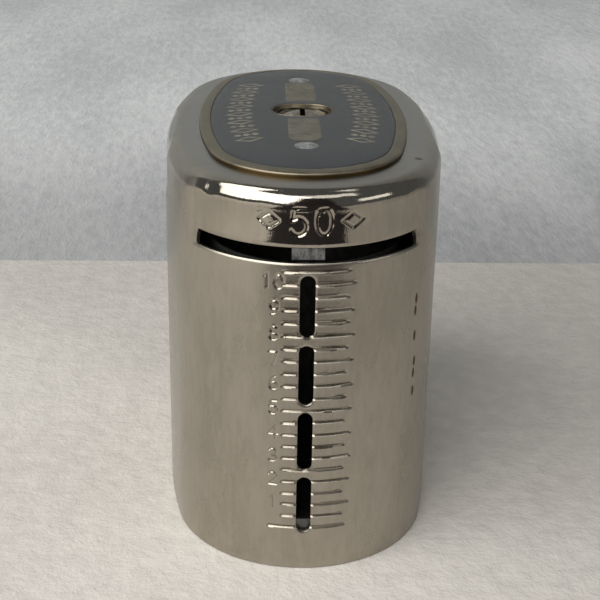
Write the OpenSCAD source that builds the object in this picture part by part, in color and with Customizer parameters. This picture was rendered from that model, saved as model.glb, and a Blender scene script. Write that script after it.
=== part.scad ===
// Pocket coin sorting bank: a drawn, nickel-plated case with a locked top that lifts off
// a rack of four coin tubes. Origin at the middle of the base, +Z up, front towards -Y.

/* [Case] */
// Width of the case, side to side
body_w = 47.6; // [44:0.2:60]
// Depth of the case, front to back
body_d = 79.4; // [74:0.2:100]
// Height of the case at the edge of the name plate
body_h = 66.0; // [60:0.5:80]
// Radius of the rounded front and back ends, in plan
end_r = 21.7; // [20:0.1:22.5]
// Thickness of the drawn sheet of the case
wall = 0.65; // [0.5:0.05:1]
// Radius of the shoulder between wall and top
shoulder_r = 3.1; // [2:0.1:5]
// How much the shoulder lies below the edge of the name plate
shoulder_drop = 0.2; // [0:0.05:0.5]
// Height of the gentle crown of the top
crown_h = 0.9; // [0.4:0.1:1.5]
// Gap between the case's lower edge and the surface it stands on
foot_gap = 0.15; // [0.1:0.05:0.4]

/* [Coins] */
// Diameter of a half dollar
half_d = 30.6; // [30:0.1:31.5]
// Diameter of a quarter
quarter_d = 24.3; // [23:0.1:26]
// Diameter of a nickel
nickel_d = 21.2; // [20:0.1:22.5]
// Diameter of a dime
dime_d = 17.9; // [17:0.1:19]
// Radial clearance of a coin in its tube
coin_play = 0.2; // [0.1:0.05:0.4]

/* [Slots] */
// Height of the lower edge of the coin slots
slot_z = 54.4; // [48:0.1:60]
// Height of a coin slot's opening
slot_h = 2.4; // [2.2:0.1:3]
// How much longer a coin slot is than its coin
slot_over = 3.9; // [2:0.1:5]
// Width of the viewing slots beside the scales
view_w = 2.45; // [2:0.05:3.5]
// Length of one viewing slot
view_l = 10.25; // [8:0.05:11]
// Pitch of the viewing slots
view_pitch = 11.7; // [11.5:0.1:14]
// Height of the lowest viewing slot's lower end
view_z = 7.1; // [5:0.1:9]
// Number of viewing slots in a column
view_count = 4; // [1:1:4]

/* [Rack] */
// Thickness of the base plate, the coin deck and the head plate
plate_t = 0.8; // [0.6:0.1:1.2]
// Height of the coin deck's upper face, where the scales start
deck_z = 8.0; // [6:0.1:10]
// Wall of the coin tubes
tube_wall = 0.3; // [0.3:0.05:0.5]
// Width of the viewing slit in a tube
tube_slit = 6; // [4:0.5:8]
// Gap between the rack and the inside of the case
case_gap = 0.35; // [0.3:0.05:0.6]
// Gap between neighbouring tubes
tube_gap = 0.3; // [0.3:0.05:0.6]
// Gap between a tube's top and the coin slot's lower edge
tube_drop = 0.2; // [0.1:0.05:0.5]
// Room above the coin slot before the head plate
entry_over = 0.2; // [0.1:0.05:0.5]
// How far the head plate stays inside the case's outline
head_inset = 5; // [4.5:0.1:6]
// How far the head plate reaches over a coin's rim
head_lap = 3; // [2:0.1:4]
// Radius of the rack's posts
post_r = 1.6; // [1.2:0.1:2]
// Radius of the screws that hold the posts
screw_r = 0.75; // [0.5:0.05:1]

/* [Guards] */
// Width of a guard leaf
guard_w = 5; // [3:0.1:6]
// Thickness of a guard leaf
guard_t = 0.3; // [0.2:0.05:0.5]
// Height of the guards' hinge pins
hinge_z = 61.4; // [60:0.1:62]
// Radius of a guard's hinge pin
hinge_pin_r = 0.5; // [0.4:0.05:0.6]
// Running clearance of a hinge pin and of the lock plug
run_play = 0.03; // [0.02:0.01:0.08]

/* [Name plate] */
// Distance from the case's outline to the plate's edge
plate_inset = 5.95; // [4:0.05:8]
// Thickness of the plate at its rim
name_t = 0.75; // [0.5:0.05:1.2]
// Width of the plate's bare rim
rim_w = 1.95; // [1:0.05:3]
// Depth of the enamel's recess in the plate
recess = 0.3; // [0.2:0.05:0.4]
// Width of the keyhole
keyhole_w = 10.4; // [9:0.1:12]
// Depth of the keyhole, front to back
keyhole_d = 7.8; // [7.2:0.1:9]
// Width of the two number panels
panel_w = 5.4; // [4:0.1:6]
// Distance of a number panel's near end from the keyhole's centre
panel_from = 5.5; // [5.3:0.1:7]
// Distance of a number panel's far end from the keyhole's centre
panel_to = 18.9; // [15:0.1:18.9]
// Chamfer of a number panel's corners
panel_chamfer = 1.3; // [0.5:0.1:1.5]
// Distance of the plate's rivets from the keyhole's centre
rivet_y = 21.4; // [20.5:0.1:23]
// Radius of a plate rivet's domed head
rivet_r = 2.0; // [1.5:0.1:2.2]

/* [Lock] */
// Radius of the lock case
lock_r = 8; // [7:0.1:9]
// Radius of the lock plug
plug_r = 3.5; // [3:0.1:3.6]
// Length of a cam arm from the lock's centre
cam_arm = 6.6; // [6:0.1:6.8]
// Width of the cam
cam_w = 4.4; // [3.6:0.1:5]
// Thickness of the cam
cam_t = 1.0; // [0.8:0.1:1.2]
// Free height between the lock's working parts
lock_gap = 0.4; // [0.3:0.05:0.5]

/* [Hidden] */
$fn = 48;
SIDE_N = 8;
END_N = 22;
SHOULDER_N = 5;
CROWN_N = 5;
CUT = 1;

// The outline is four tangent arcs: two ends of radius end_r and two slightly bulged sides.
end_c = body_d / 2 - end_r;
side_step = body_w / 2 - end_r;
side_k = (end_c * end_c - side_step * side_step) / (2 * side_step);
side_r = body_w / 2 + side_k;
side_a = atan(end_c / side_k);
// Innermost ring of the crown, where the top becomes flat
core_inset = end_r - 2;
shoulder_z = body_h - shoulder_drop - shoulder_r;

// Levels of the rack, from the base up
skirt_top = deck_z - plate_t;
tube_top = slot_z - tube_drop;
head_z = slot_z + slot_h + entry_over;
head_top = head_z + plate_t;
screw_head_h = 0.7;
cam_z = head_top + screw_head_h + lock_gap;
lip_z = cam_z + cam_t + lock_gap;
cover_z = lip_z + plate_t + lock_gap;
ceiling_z = body_h - wall + crown_h;
lock_top = ceiling_z - 0.15;
rack_inset = wall + case_gap;

half_r = half_d / 2 + coin_play;
quarter_r = quarter_d / 2 + coin_play;
nickel_r = nickel_d / 2 + coin_play;
dime_r = dime_d / 2 + coin_play;

// Tubes stand case_gap inside the case; the side tubes nest against the halves tube.
half_y = -(body_d / 2 - rack_inset - tube_wall - half_r);
quarter_y = body_d / 2 - rack_inset - tube_wall - quarter_r;
nickel_x = body_w / 2 - rack_inset - 0.1 - tube_wall - nickel_r;
dime_x = -(body_w / 2 - rack_inset - 0.1 - tube_wall - dime_r);
nickel_y = nest_y(nickel_x, nickel_r);
dime_y = nest_y(dime_x, dime_r);

// Each column: bore radius, centre, and the direction in which its slot faces
HALVES = [half_r, [0, half_y], -90];
QUARTERS = [quarter_r, [0, quarter_y], 90];
NICKELS = [nickel_r, [nickel_x, nickel_y], 0];
DIMES = [dime_r, [dime_x, dime_y], 180];
COLUMNS = [HALVES, QUARTERS, NICKELS, DIMES];

// Posts stand in the spaces that the tubes leave
post_x = (dime_x + dime_r + nickel_x - nickel_r) / 2;
corner_reach = tube_wall + post_r + 1;
POST_FRONT = [post_x, half_y + beside(half_r, post_x)];
POST_REAR = [post_x, quarter_y - beside(quarter_r, post_x)];
POST_FRONT_LEFT = corner_post(DIMES, 1);
POST_FRONT_RIGHT = corner_post(NICKELS, -1);
POST_REAR_LEFT = QUARTERS[1] + (quarter_r + corner_reach) * [cos(210), sin(210)];
POST_REAR_RIGHT = QUARTERS[1] + (quarter_r + corner_reach) * [cos(330), sin(330)];
POSTS = [POST_FRONT, POST_REAR, POST_FRONT_LEFT, POST_FRONT_RIGHT, POST_REAR_LEFT, POST_REAR_RIGHT];

// Guards hang on pins just inside the wall
pin_inset = wall + 1.3;
barrel_r = hinge_pin_r + run_play + 0.27;
guard_low = slot_z + 0.3;
ear_t = 0.8;
ear_gap = 0.2;

// Keeper hooks stand just outside the reach of the cam
keeper_t = 0.8;
keeper_w = 5;
hook_y = cam_arm + 0.8;
lip_y = cam_arm - 1.4;
keeper_rivet_r = 0.5;
keeper_head_r = 0.7;
keeper_rivet_y = hook_y + keeper_t + keeper_head_r + 0.05;
keeper_foot_y = keeper_rivet_y + keeper_head_r + 0.1;

plug_head_r = plug_r + 0.8;
plug_tail = 2.5;
plug_dome_h = 0.7;
plug_head_top = ceiling_z + 0.45;
keyway_w = 0.9;
keyway_l = 4.4;
lock_flange_r = lock_r + 2;
lock_flange_t = 0.8;
lock_rivet_r = 0.6;
lock_rivet_at = lock_r + 1;
LOCK_RIVET_ANGLES = [45, 135, 225, 315];

NICKEL_PLATE = [0.66, 0.62, 0.56];
BRASS = [0.62, 0.56, 0.44];
ENAMEL = [0.30, 0.34, 0.37];
PANEL_TAN = [0.66, 0.60, 0.46];
STEEL = [0.58, 0.58, 0.57];
TINPLATE = [0.70, 0.70, 0.68];

// ---- Outline and lofts ----

function arc(centre, r, a0, a1, n) =
    [for (i = [0:n - 1]) centre + r * [cos(a0 + (a1 - a0) * i / n), sin(a0 + (a1 - a0) * i / n)]];

function oval(inset) = concat(
    arc([-side_k, 0], side_r - inset, -side_a, side_a, SIDE_N),
    arc([0, end_c], end_r - inset, side_a, 180 - side_a, END_N),
    arc([side_k, 0], side_r - inset, 180 - side_a, 180 + side_a, SIDE_N),
    arc([0, -end_c], end_r - inset, 180 + side_a, 360 - side_a, END_N)
);

// Rings of the crowned top, from the plate's edge to the flat middle: [height, inset]
function crown(from_inset, lift) = [
    for (i = [0:CROWN_N])
        let (q = 1 - i / CROWN_N)
        [body_h + lift + crown_h * (1 - q * q), core_inset - (core_inset - from_inset) * q]
];

// Rings of the shoulder and the top, moved into the sheet by depth: [height, inset]
function skin(depth) = concat(
    [for (i = [0:SHOULDER_N])
        let (a = 90 * i / SHOULDER_N)
        [shoulder_z + (shoulder_r - depth) * sin(a), shoulder_r - (shoulder_r - depth) * cos(a)]],
    crown(plate_inset, -depth)
);

function reverse(list) = [for (i = [len(list) - 1:-1:0]) list[i]];

// Centre height of a side tube that nests against the halves tube
function nest_y(x, r) = half_y + sqrt(pow(half_r + r + 2 * tube_wall + tube_gap, 2) - x * x);

// Distance along Y at which a post clears the tube of bore radius r
function beside(r, x) = sqrt(pow(r + tube_wall + post_r + case_gap, 2) - x * x);

// Place of a post beside the halves tube and clear of a side tube, on the side of it that turn says
function corner_post(column, turn) =
    let (
        to_side = column[1] - HALVES[1],
        d = norm(to_side),
        p = half_r + corner_reach,
        q = column[0] + tube_wall + post_r + case_gap,
        away = acos((p * p + d * d - q * q) / (2 * p * d)) + 5,
        a = atan2(to_side[1], to_side[0]) + turn * away
    )
    HALVES[1] + p * [cos(a), sin(a)];

// Distance from a column's centre to the case's outer surface, along its direction
function reach(column) =
    column[2] == 90 || column[2] == -90
    ? body_d / 2 - abs(column[1][1])
    : sqrt(side_r * side_r - column[1][1] * column[1][1]) - side_k - abs(column[1][0]);

module loft(levels) {
    n = len(oval(0));
    last = len(levels) - 1;
    points = [for (level = levels) for (p = oval(level[1])) [p[0], p[1], level[0]]];
    sides = [
        for (j = [0:last - 1]) for (i = [0:n - 1])
            let (k = (i + 1) % n)
            each [[j * n + i, (j + 1) * n + i, (j + 1) * n + k], [j * n + i, (j + 1) * n + k, j * n + k]]
    ];
    low = [for (i = [0:n - 1]) i];
    high = [for (i = [n - 1:-1:0]) last * n + i];
    polyhedron(points, concat([low], sides, [high]));
}

module oval_slab(inset, z, h) {
    translate([0, 0, z])
        linear_extrude(h)
            polygon(oval(inset));
}

// Sheet that follows the crown of the top, between two lifts above it
module crowned_slab(inset, low, high) {
    loft(concat(reverse(crown(inset, low)), crown(inset, high)));
}

// Local +X points out of the case, local +Y runs along the wall
module at_column(column) {
    translate(column[1])
        rotate(column[2])
            children();
}

module oval_hole(w, d, z, h) {
    straight = w - d;
    translate([0, 0, z]) {
        for (s = [-1, 1])
            translate([s * straight / 2, 0, 0])
                cylinder(d = d, h = h);
        translate([-straight / 2, -d / 2, 0])
            cube([straight, d, h]);
    }
}

module lock_rivet_places() {
    for (a = LOCK_RIVET_ANGLES)
        translate(lock_rivet_at * [cos(a), sin(a)])
            children();
}

// ---- Case ----

module coin_slot(column) {
    length = 2 * (column[0] - coin_play) + slot_over;
    at_column(column)
        translate([reach(column) - body_w / 3, -length / 2, slot_z])
            cube([body_w / 2, length, slot_h]);
}

module view_slots(column) {
    at_column(column)
        for (i = [0:view_count - 1])
            translate([reach(column) - 3, 0, view_z + i * view_pitch]) {
                for (z = [view_w / 2, view_l - view_w / 2])
                    translate([0, 0, z])
                        rotate([0, 90, 0])
                            cylinder(d = view_w, h = 6);
                translate([0, -view_w / 2, view_w / 2])
                    cube([6, view_w, view_l - view_w]);
            }
}

module outer_shell() {
    color(NICKEL_PLATE)
        difference() {
            loft(concat(reverse(skin(wall)), [[foot_gap, wall], [foot_gap, 0]], skin(0)));
            for (column = COLUMNS) {
                coin_slot(column);
                view_slots(column);
            }
            translate([0, 0, ceiling_z - CUT])
                cylinder(r = plug_head_r + 0.3, h = 3 * CUT);
            lock_rivet_places()
                translate([0, 0, ceiling_z - CUT])
                    cylinder(r = lock_rivet_r, h = 3 * CUT);
            for (s = [-1, 1])
                translate([0, s * rivet_y, ceiling_z - CUT])
                    cylinder(r = rivet_r / 2, h = 3 * CUT);
        }
}

// ---- Name plate ----

module plate_holes() {
    oval_hole(keyhole_w, keyhole_d, body_h - CUT, 4 * CUT);
    for (s = [-1, 1])
        translate([0, s * rivet_y, body_h - CUT])
            cylinder(r = rivet_r / 2, h = 4 * CUT);
}

module name_plate() {
    color(BRASS)
        difference() {
            crowned_slab(plate_inset, 0, name_t);
            difference() {
                crowned_slab(plate_inset + rim_w, name_t - recess, name_t + CUT);
                oval_hole(keyhole_w + 1.2, keyhole_d + 1.2, body_h - CUT, 4 * CUT);
            }
            plate_holes();
        }
}

module panel_outline(grow) {
    half = panel_w / 2 + grow;
    near = panel_from - grow;
    far = panel_to + grow;
    c = panel_chamfer;
    polygon([
        [-half + c, near], [half - c, near], [half, near + c], [half, far - c],
        [half - c, far], [-half + c, far], [-half, far - c], [-half, near + c]
    ]);
}

module panel_solid(side, grow, z, h) {
    translate([0, 0, z])
        mirror([0, side < 0 ? 1 : 0, 0])
            linear_extrude(h)
                panel_outline(grow);
}

panel_z = body_h + crown_h + name_t - recess;

module enamel_field() {
    color(ENAMEL)
        difference() {
            crowned_slab(plate_inset + rim_w + 0.02, name_t - recess + 0.01, name_t - 0.05);
            oval_hole(keyhole_w + 1.24, keyhole_d + 1.24, body_h - CUT, 4 * CUT);
            for (s = [-1, 1]) {
                translate([0, s * rivet_y, body_h - CUT])
                    cylinder(r = rivet_r + 0.1, h = 4 * CUT);
                panel_solid(s, 0.02, panel_z - CUT, 2 * CUT);
            }
        }
}

module number_panel(side) {
    color(PANEL_TAN)
        panel_solid(side, 0, panel_z, recess - 0.02);
}

module plate_rivets() {
    head_h = 0.6;
    dome_r = (rivet_r * rivet_r + head_h * head_h) / (2 * head_h);
    seat = panel_z;
    color(STEEL)
        for (s = [-1, 1])
            translate([0, s * rivet_y, 0]) {
                translate([0, 0, ceiling_z - 0.3])
                    cylinder(r = rivet_r / 2, h = seat - ceiling_z + 0.4);
                intersection() {
                    translate([0, 0, seat + head_h - dome_r])
                        sphere(r = dome_r);
                    translate([0, 0, seat + 0.02])
                        cylinder(r = rivet_r, h = 2);
                }
            }
}

// ---- Lock ----

module lock_case() {
    color(BRASS)
        difference() {
            union() {
                translate([0, 0, cover_z + plate_t])
                    cylinder(r = lock_r, h = lock_top - cover_z - plate_t);
                translate([0, 0, lock_top - lock_flange_t])
                    cylinder(r = lock_flange_r, h = lock_flange_t - 0.1);
            }
            translate([0, 0, cover_z - CUT])
                cylinder(r = plug_r + run_play, h = lock_top - cover_z + 2 * CUT);
            lock_rivet_places()
                translate([0, 0, lock_top - 2 * lock_flange_t])
                    cylinder(r = lock_rivet_r, h = 3 * lock_flange_t);
            for (s = [-1, 1])
                translate([s * lock_r * 0.72, 0, cover_z])
                    cylinder(r = 0.5, h = plate_t + 2);
        }
}

module lock_cover() {
    color(TINPLATE)
        difference() {
            translate([0, 0, cover_z])
                cylinder(r = lock_r, h = plate_t);
            translate([0, 0, cover_z - CUT])
                cylinder(r = plug_r + run_play, h = plate_t + 2 * CUT);
            for (s = [-1, 1])
                translate([s * lock_r * 0.72, 0, cover_z - CUT])
                    cylinder(r = 0.5, h = plate_t + 2 * CUT);
        }
}

module cover_screws() {
    color(STEEL)
        for (s = [-1, 1])
            translate([s * lock_r * 0.72, 0, 0]) {
                translate([0, 0, cover_z - 0.35])
                    cylinder(r = 0.95, h = 0.35);
                translate([0, 0, cover_z - 0.1])
                    cylinder(r = 0.49, h = plate_t + 1.9);
            }
}

module lock_rivets() {
    color(STEEL)
        lock_rivet_places() {
            translate([0, 0, lock_top - lock_flange_t - 0.45])
                cylinder(r = 1, h = 0.44);
            translate([0, 0, lock_top - lock_flange_t - 0.2])
                cylinder(r = lock_rivet_r - 0.01, h = lock_flange_t + 0.6);
        }
}

module lock_plug() {
    dome_r = (plug_r * plug_r + plug_dome_h * plug_dome_h) / (2 * plug_dome_h);
    color(BRASS)
        difference() {
            union() {
                translate([-plug_tail / 2, -plug_tail / 2, cam_z])
                    cube([plug_tail, plug_tail, cam_t + CUT]);
                translate([0, 0, cam_z + cam_t])
                    cylinder(r = 2.2, h = cover_z - cam_z - cam_t + CUT / 2);
                translate([0, 0, cover_z + 0.1])
                    cylinder(r = plug_r, h = plug_head_top - cover_z - 0.1);
                translate([0, 0, lock_top + 0.05])
                    cylinder(r = plug_head_r, h = plug_head_top - lock_top - 0.05);
                intersection() {
                    translate([0, 0, plug_head_top + plug_dome_h - dome_r])
                        sphere(r = dome_r);
                    translate([0, 0, plug_head_top - 0.1])
                        cylinder(r = plug_r, h = 2);
                }
            }
            translate([-keyway_w / 2, -keyway_l / 2, plug_head_top - 3])
                cube([keyway_w, keyway_l, 5]);
            translate([0, 0, cam_z - CUT])
                cylinder(r = 0.6, h = cam_t + 2 * CUT);
        }
}

module lock_cam() {
    color(STEEL)
        translate([0, 0, cam_z])
            difference() {
                intersection() {
                    cylinder(r = cam_arm, h = cam_t);
                    translate([-cam_arm, -cam_w / 2, 0])
                        cube([2 * cam_arm, cam_w, cam_t]);
                }
                translate([-plug_tail / 2 - 0.03, -plug_tail / 2 - 0.03, -CUT])
                    cube([plug_tail + 0.06, plug_tail + 0.06, cam_t + 2 * CUT]);
            }
}

module cam_screw() {
    color(STEEL) {
        translate([0, 0, cam_z - 0.7])
            cylinder(r = 1.9, h = 0.69);
        translate([0, 0, cam_z - 0.2])
            cylinder(r = 0.59, h = cam_t + 0.9);
    }
}

// ---- Coin guards ----

module at_hinge(column) {
    at_column(column)
        translate([reach(column) - pin_inset, 0, hinge_z])
            children();
}

module across(r, length) {
    translate([0, -length / 2, 0])
        rotate([-90, 0, 0])
            cylinder(r = r, h = length);
}

module guard(column) {
    color(STEEL)
        at_hinge(column)
            difference() {
                union() {
                    across(barrel_r, guard_w);
                    translate([barrel_r - guard_t, -guard_w / 2, guard_low - hinge_z])
                        cube([guard_t, guard_w, hinge_z - guard_low]);
                }
                across(hinge_pin_r + run_play, guard_w + 2 * CUT);
            }
}

module guard_pin(column) {
    color(STEEL)
        at_hinge(column)
            across(hinge_pin_r, guard_w + 2 * (ear_gap + ear_t));
}

module guard_bracket(column) {
    ear_y = guard_w / 2 + ear_gap;
    web_z = barrel_r + 0.1;
    web_h = 0.45;
    deep = pin_inset + barrel_r;
    color(TINPLATE)
        intersection() {
            at_hinge(column)
                difference() {
                    union() {
                        for (s = [0, 1])
                            mirror([0, s, 0])
                                translate([-barrel_r, ear_y, -barrel_r])
                                    cube([deep, ear_t, web_z + barrel_r + web_h]);
                        translate([-barrel_r, -ear_y - ear_t, web_z])
                            cube([deep, 2 * (ear_y + ear_t), web_h]);
                    }
                    across(hinge_pin_r + 0.01, 4 * guard_w);
                }
            oval_slab(wall + 0.03, hinge_z - 3, 6);
        }
}

// ---- Rack ----

module screw_places() {
    for (p = POSTS)
        translate(p)
            children();
}

module base_plate() {
    color(STEEL)
        difference() {
            oval_slab(rack_inset, 0, plate_t);
            screw_places()
                translate([0, 0, -0.01])
                    cylinder(r1 = 2 * screw_r, r2 = screw_r, h = plate_t + 0.02);
        }
}

module base_skirt() {
    color(STEEL)
        difference() {
            oval_slab(rack_inset, plate_t, skirt_top - plate_t);
            oval_slab(rack_inset + plate_t, plate_t - CUT, skirt_top + CUT);
        }
}

module coin_deck() {
    color(TINPLATE)
        difference() {
            oval_slab(rack_inset, skirt_top, plate_t);
            screw_places()
                translate([0, 0, skirt_top - CUT])
                    cylinder(r = post_r + 0.05, h = plate_t + 2 * CUT);
        }
}

module coin_tube(column) {
    r = column[0];
    color(TINPLATE)
        at_column(column)
            difference() {
                translate([0, 0, deck_z])
                    cylinder(r = r + tube_wall, h = head_z - deck_z);
                translate([0, 0, deck_z - CUT])
                    cylinder(r = r, h = head_z - deck_z + 2 * CUT);
                translate([0, -r - CUT, tube_top])
                    cube([r + CUT, 2 * (r + CUT), head_z - tube_top + CUT]);
                translate([r / 2, -tube_slit / 2, deck_z + 1])
                    cube([r, tube_slit, head_z - deck_z]);
            }
}

module post(place) {
    color(STEEL)
        translate(place)
            difference() {
                translate([0, 0, plate_t])
                    cylinder(r = post_r, h = head_z - plate_t);
                translate([0, 0, plate_t - CUT])
                    cylinder(r = screw_r, h = 4 + CUT);
                translate([0, 0, head_z - 4])
                    cylinder(r = screw_r, h = 4 + CUT);
            }
}

module head_plate() {
    color(TINPLATE)
        difference() {
            oval_slab(head_inset, head_z, plate_t);
            for (column = COLUMNS)
                translate([column[1][0], column[1][1], head_z - CUT])
                    cylinder(r = column[0] - coin_play - head_lap, h = plate_t + 2 * CUT);
            screw_places()
                translate([0, 0, head_z - CUT])
                    cylinder(r = screw_r, h = plate_t + 2 * CUT);
            for (s = [-1, 1])
                translate([0, s * keeper_rivet_y, head_z - CUT])
                    cylinder(r = keeper_rivet_r, h = plate_t + 2 * CUT);
        }
}

module keeper(side) {
    color(STEEL)
        mirror([0, side < 0 ? 1 : 0, 0])
            difference() {
                union() {
                    translate([-keeper_w / 2, hook_y, head_top])
                        cube([keeper_w, keeper_foot_y - hook_y, keeper_t]);
                    translate([-keeper_w / 2, hook_y, head_top])
                        cube([keeper_w, keeper_t, lip_z + plate_t - head_top]);
                    translate([-keeper_w / 2, lip_y, lip_z])
                        cube([keeper_w, hook_y + keeper_t - lip_y, plate_t]);
                }
                translate([0, keeper_rivet_y, head_top - CUT])
                    cylinder(r = keeper_rivet_r, h = keeper_t + 2 * CUT);
            }
}

module keeper_rivets() {
    color(TINPLATE)
        for (s = [-1, 1])
            translate([0, s * keeper_rivet_y, 0]) {
                translate([0, 0, head_z])
                    cylinder(r = keeper_rivet_r - 0.01, h = plate_t + keeper_t + 0.2);
                translate([0, 0, head_top + keeper_t + 0.01])
                    cylinder(r = keeper_head_r, h = 0.4);
            }
}

module head_screws() {
    color(STEEL)
        screw_places() {
            translate([0, 0, head_z - 3.8])
                cylinder(r = screw_r - 0.01, h = 3.8 + plate_t + 0.1);
            translate([0, 0, head_top + 0.01])
                cylinder(r = 2 * screw_r, h = screw_head_h - 0.01);
        }
}

module base_screws() {
    color(STEEL)
        screw_places() {
            translate([0, 0, 0.05])
                cylinder(r1 = 2 * screw_r - 0.1, r2 = screw_r - 0.01, h = plate_t - 0.1);
            translate([0, 0, plate_t / 2])
                cylinder(r = screw_r - 0.01, h = plate_t / 2 + 3.8);
        }
}

outer_shell();
name_plate();
enamel_field();
number_panel(-1);  // number_panel_front
number_panel(1);  // number_panel_rear
plate_rivets();
lock_case();
lock_cover();
lock_rivets();
cover_screws();
guard_bracket(HALVES);  // guard_bracket_front
guard_bracket(QUARTERS);  // guard_bracket_rear
guard_bracket(DIMES);  // guard_bracket_left
guard_bracket(NICKELS);  // guard_bracket_right
guard_pin(HALVES);  // guard_pin_front
guard_pin(QUARTERS);  // guard_pin_rear
guard_pin(DIMES);  // guard_pin_left
guard_pin(NICKELS);  // guard_pin_right
guard(HALVES);  // guard_front
guard(QUARTERS);  // guard_rear
guard(DIMES);  // guard_left
guard(NICKELS);  // guard_right
lock_plug();
lock_cam();
cam_screw();
base_plate();
base_skirt();
coin_deck();
coin_tube(HALVES);  // halves_tube
coin_tube(QUARTERS);  // quarters_tube
coin_tube(NICKELS);  // nickels_tube
coin_tube(DIMES);  // dimes_tube
post(POST_FRONT);  // post_front
post(POST_REAR);  // post_rear
post(POST_FRONT_LEFT);  // post_front_left
post(POST_FRONT_RIGHT);  // post_front_right
post(POST_REAR_LEFT);  // post_rear_left
post(POST_REAR_RIGHT);  // post_rear_right
head_plate();
keeper(-1);  // keeper_front
keeper(1);  // keeper_rear
keeper_rivets();
head_screws();
base_screws();
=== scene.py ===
import math

import bpy
import numpy as np
from mathutils import Matrix, Vector


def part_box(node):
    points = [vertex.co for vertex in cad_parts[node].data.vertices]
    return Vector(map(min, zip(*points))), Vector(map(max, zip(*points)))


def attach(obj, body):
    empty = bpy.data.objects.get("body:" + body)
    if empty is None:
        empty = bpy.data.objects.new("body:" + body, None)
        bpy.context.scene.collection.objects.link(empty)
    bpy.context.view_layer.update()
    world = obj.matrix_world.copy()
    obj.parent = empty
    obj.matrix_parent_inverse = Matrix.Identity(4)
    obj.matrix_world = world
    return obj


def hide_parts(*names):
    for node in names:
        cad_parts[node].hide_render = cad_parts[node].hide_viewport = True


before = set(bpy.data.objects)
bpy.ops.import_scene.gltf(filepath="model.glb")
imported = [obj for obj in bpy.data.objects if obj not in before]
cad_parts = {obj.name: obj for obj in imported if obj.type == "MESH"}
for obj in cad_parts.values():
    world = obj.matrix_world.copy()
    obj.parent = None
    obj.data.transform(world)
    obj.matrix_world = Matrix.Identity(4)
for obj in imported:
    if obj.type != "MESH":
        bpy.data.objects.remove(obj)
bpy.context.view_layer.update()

MM = 0.001

# ---- Driving sizes in mm, read from the frame where it has them ----


def node_size(name):
    low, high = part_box(name)
    return [(high[i] - low[i]) / MM for i in range(3)]


def node_centre(name):
    low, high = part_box(name)
    return [(high[i] + low[i]) / 2 / MM for i in range(3)]


BODY_W, BODY_D, _ = node_size("outer_shell")
PLATE_W, PLATE_D, _ = node_size("name_plate")
PLATE_INSET = (BODY_W - PLATE_W) / 2
PLATE_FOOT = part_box("name_plate")[0][2] / MM
SHELL_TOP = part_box("outer_shell")[1][2] / MM
SHELL_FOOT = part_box("outer_shell")[0][2] / MM
DECK_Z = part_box("coin_deck")[1][2] / MM
CROWN = SHELL_TOP - PLATE_FOOT
END_R = 21.7           # radius of the outline's two ends
WALL = 0.65
SHOULDER_R = 3.1
SHOULDER_DROP = 0.2    # how far the shoulder's inner edge lies below the plate's foot
CORE_INSET = END_R - 2
SHOULDER_Z = PLATE_FOOT - SHOULDER_DROP - SHOULDER_R

# Coin slots, and how much longer than its coin each one is
SLOT_Z, SLOT_H, SLOT_OVER = 54.4, 2.4, 3.9
SLOT_TOP = SLOT_Z + SLOT_H
# Viewing slots, as sizes and as the lowest and highest centre of their rounded ends
VIEW_W, VIEW_L, VIEW_PITCH, VIEW_Z = 2.45, 10.25, 11.7, 7.1
VIEW_SPANS = [(VIEW_Z + i * VIEW_PITCH + VIEW_W / 2, VIEW_Z + i * VIEW_PITCH + VIEW_L - VIEW_W / 2)
              for i in range(4)]
LIP = 0.35             # width of the slots' rounded edges
VIEW_ROUND, SLOT_ROUND = 0.15, 0.20
HALF_T = 2.15          # thickness of a half dollar

# The pressed area over each coin slot: its depth at the slot and where it is full, the height of its top
# crease in the middle and how far that sags, and where its side creases and the polish in it end
BAND_LOW, BAND_DEPTH, BAND_FULL = 0.28, 0.42, 60.6
CREASE_T, CREASE_SAG, CREASE_EASE = 66.5, 1.3, 0.65
PRESS_EDGE, POLISH_EDGE = (1.5, 0.8), (0.4, 0.7)

# Stamping: half width and depth of the strokes, then places in mm from a face's middle and above the base
MARK_STROKE, DIGIT_STROKE = (0.27, 0.20), (0.19, 0.15)
LABEL_STROKE, LOZENGE_STROKE = (0.34, 0.17), (0.28, 0.15)
MARK_LEFT, MARK_SHORT, MARK_LONG, ZERO_MARK = -3.65, 6.25, 7.25, (-5.8, 6.7)
DIGIT_H, DIGIT_GAP, DIGIT_RAISE, DIGIT_AT = 2.3, 0.25, 0.45, {1: -5.15, 2: -5.45}
LABEL_AT, LABEL_H = (0.4, 61.05), 4.3
LOZENGE_AWAY, LOZENGE_HALF_W, LOZENGE_HALF_H = 6.6, 1.6, 1.15

# Finely divided parts of a face, in mm from its middle and above the base, and the steps of their cells:
# fine columns, plain columns and rows
SLOT_PATCH, DIGIT_LEFT, DIGIT_RIGHT, TICK_RIGHT = 1.65, -7.05, -4.05, 8.25
LABEL_SPAN, LABEL_ROWS, SCALE_ROWS = (-8.7, 9.5), (57.6, SHOULDER_Z), (6.4, 53.8)
FRONT_STEPS, OTHER_STEPS, LABEL_COARSER = (0.15, 0.28, 0.15), (0.27, 0.45, 0.30), 1.1
# Steps of the coarse columns and rows; pairs are for the inner and the outer surface
FRONT_STEP, SIDE_STEP = 0.55, 0.95
WALL_ROW, BAND_ROW, PLATE_ROW, HOLE_ROW = 2.4, 0.6, 2.0, 1.4
SHOULDER_ROW, RING_ROW = (0.7, 0.22), (1.5, 0.5)
MERGE = 1e-3           # lines closer than this count as one
STAND_IN = 0.035       # keeps the raised lips of the stamping inside the plain case
WAVE = 0.010           # waviness of the sheet
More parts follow.
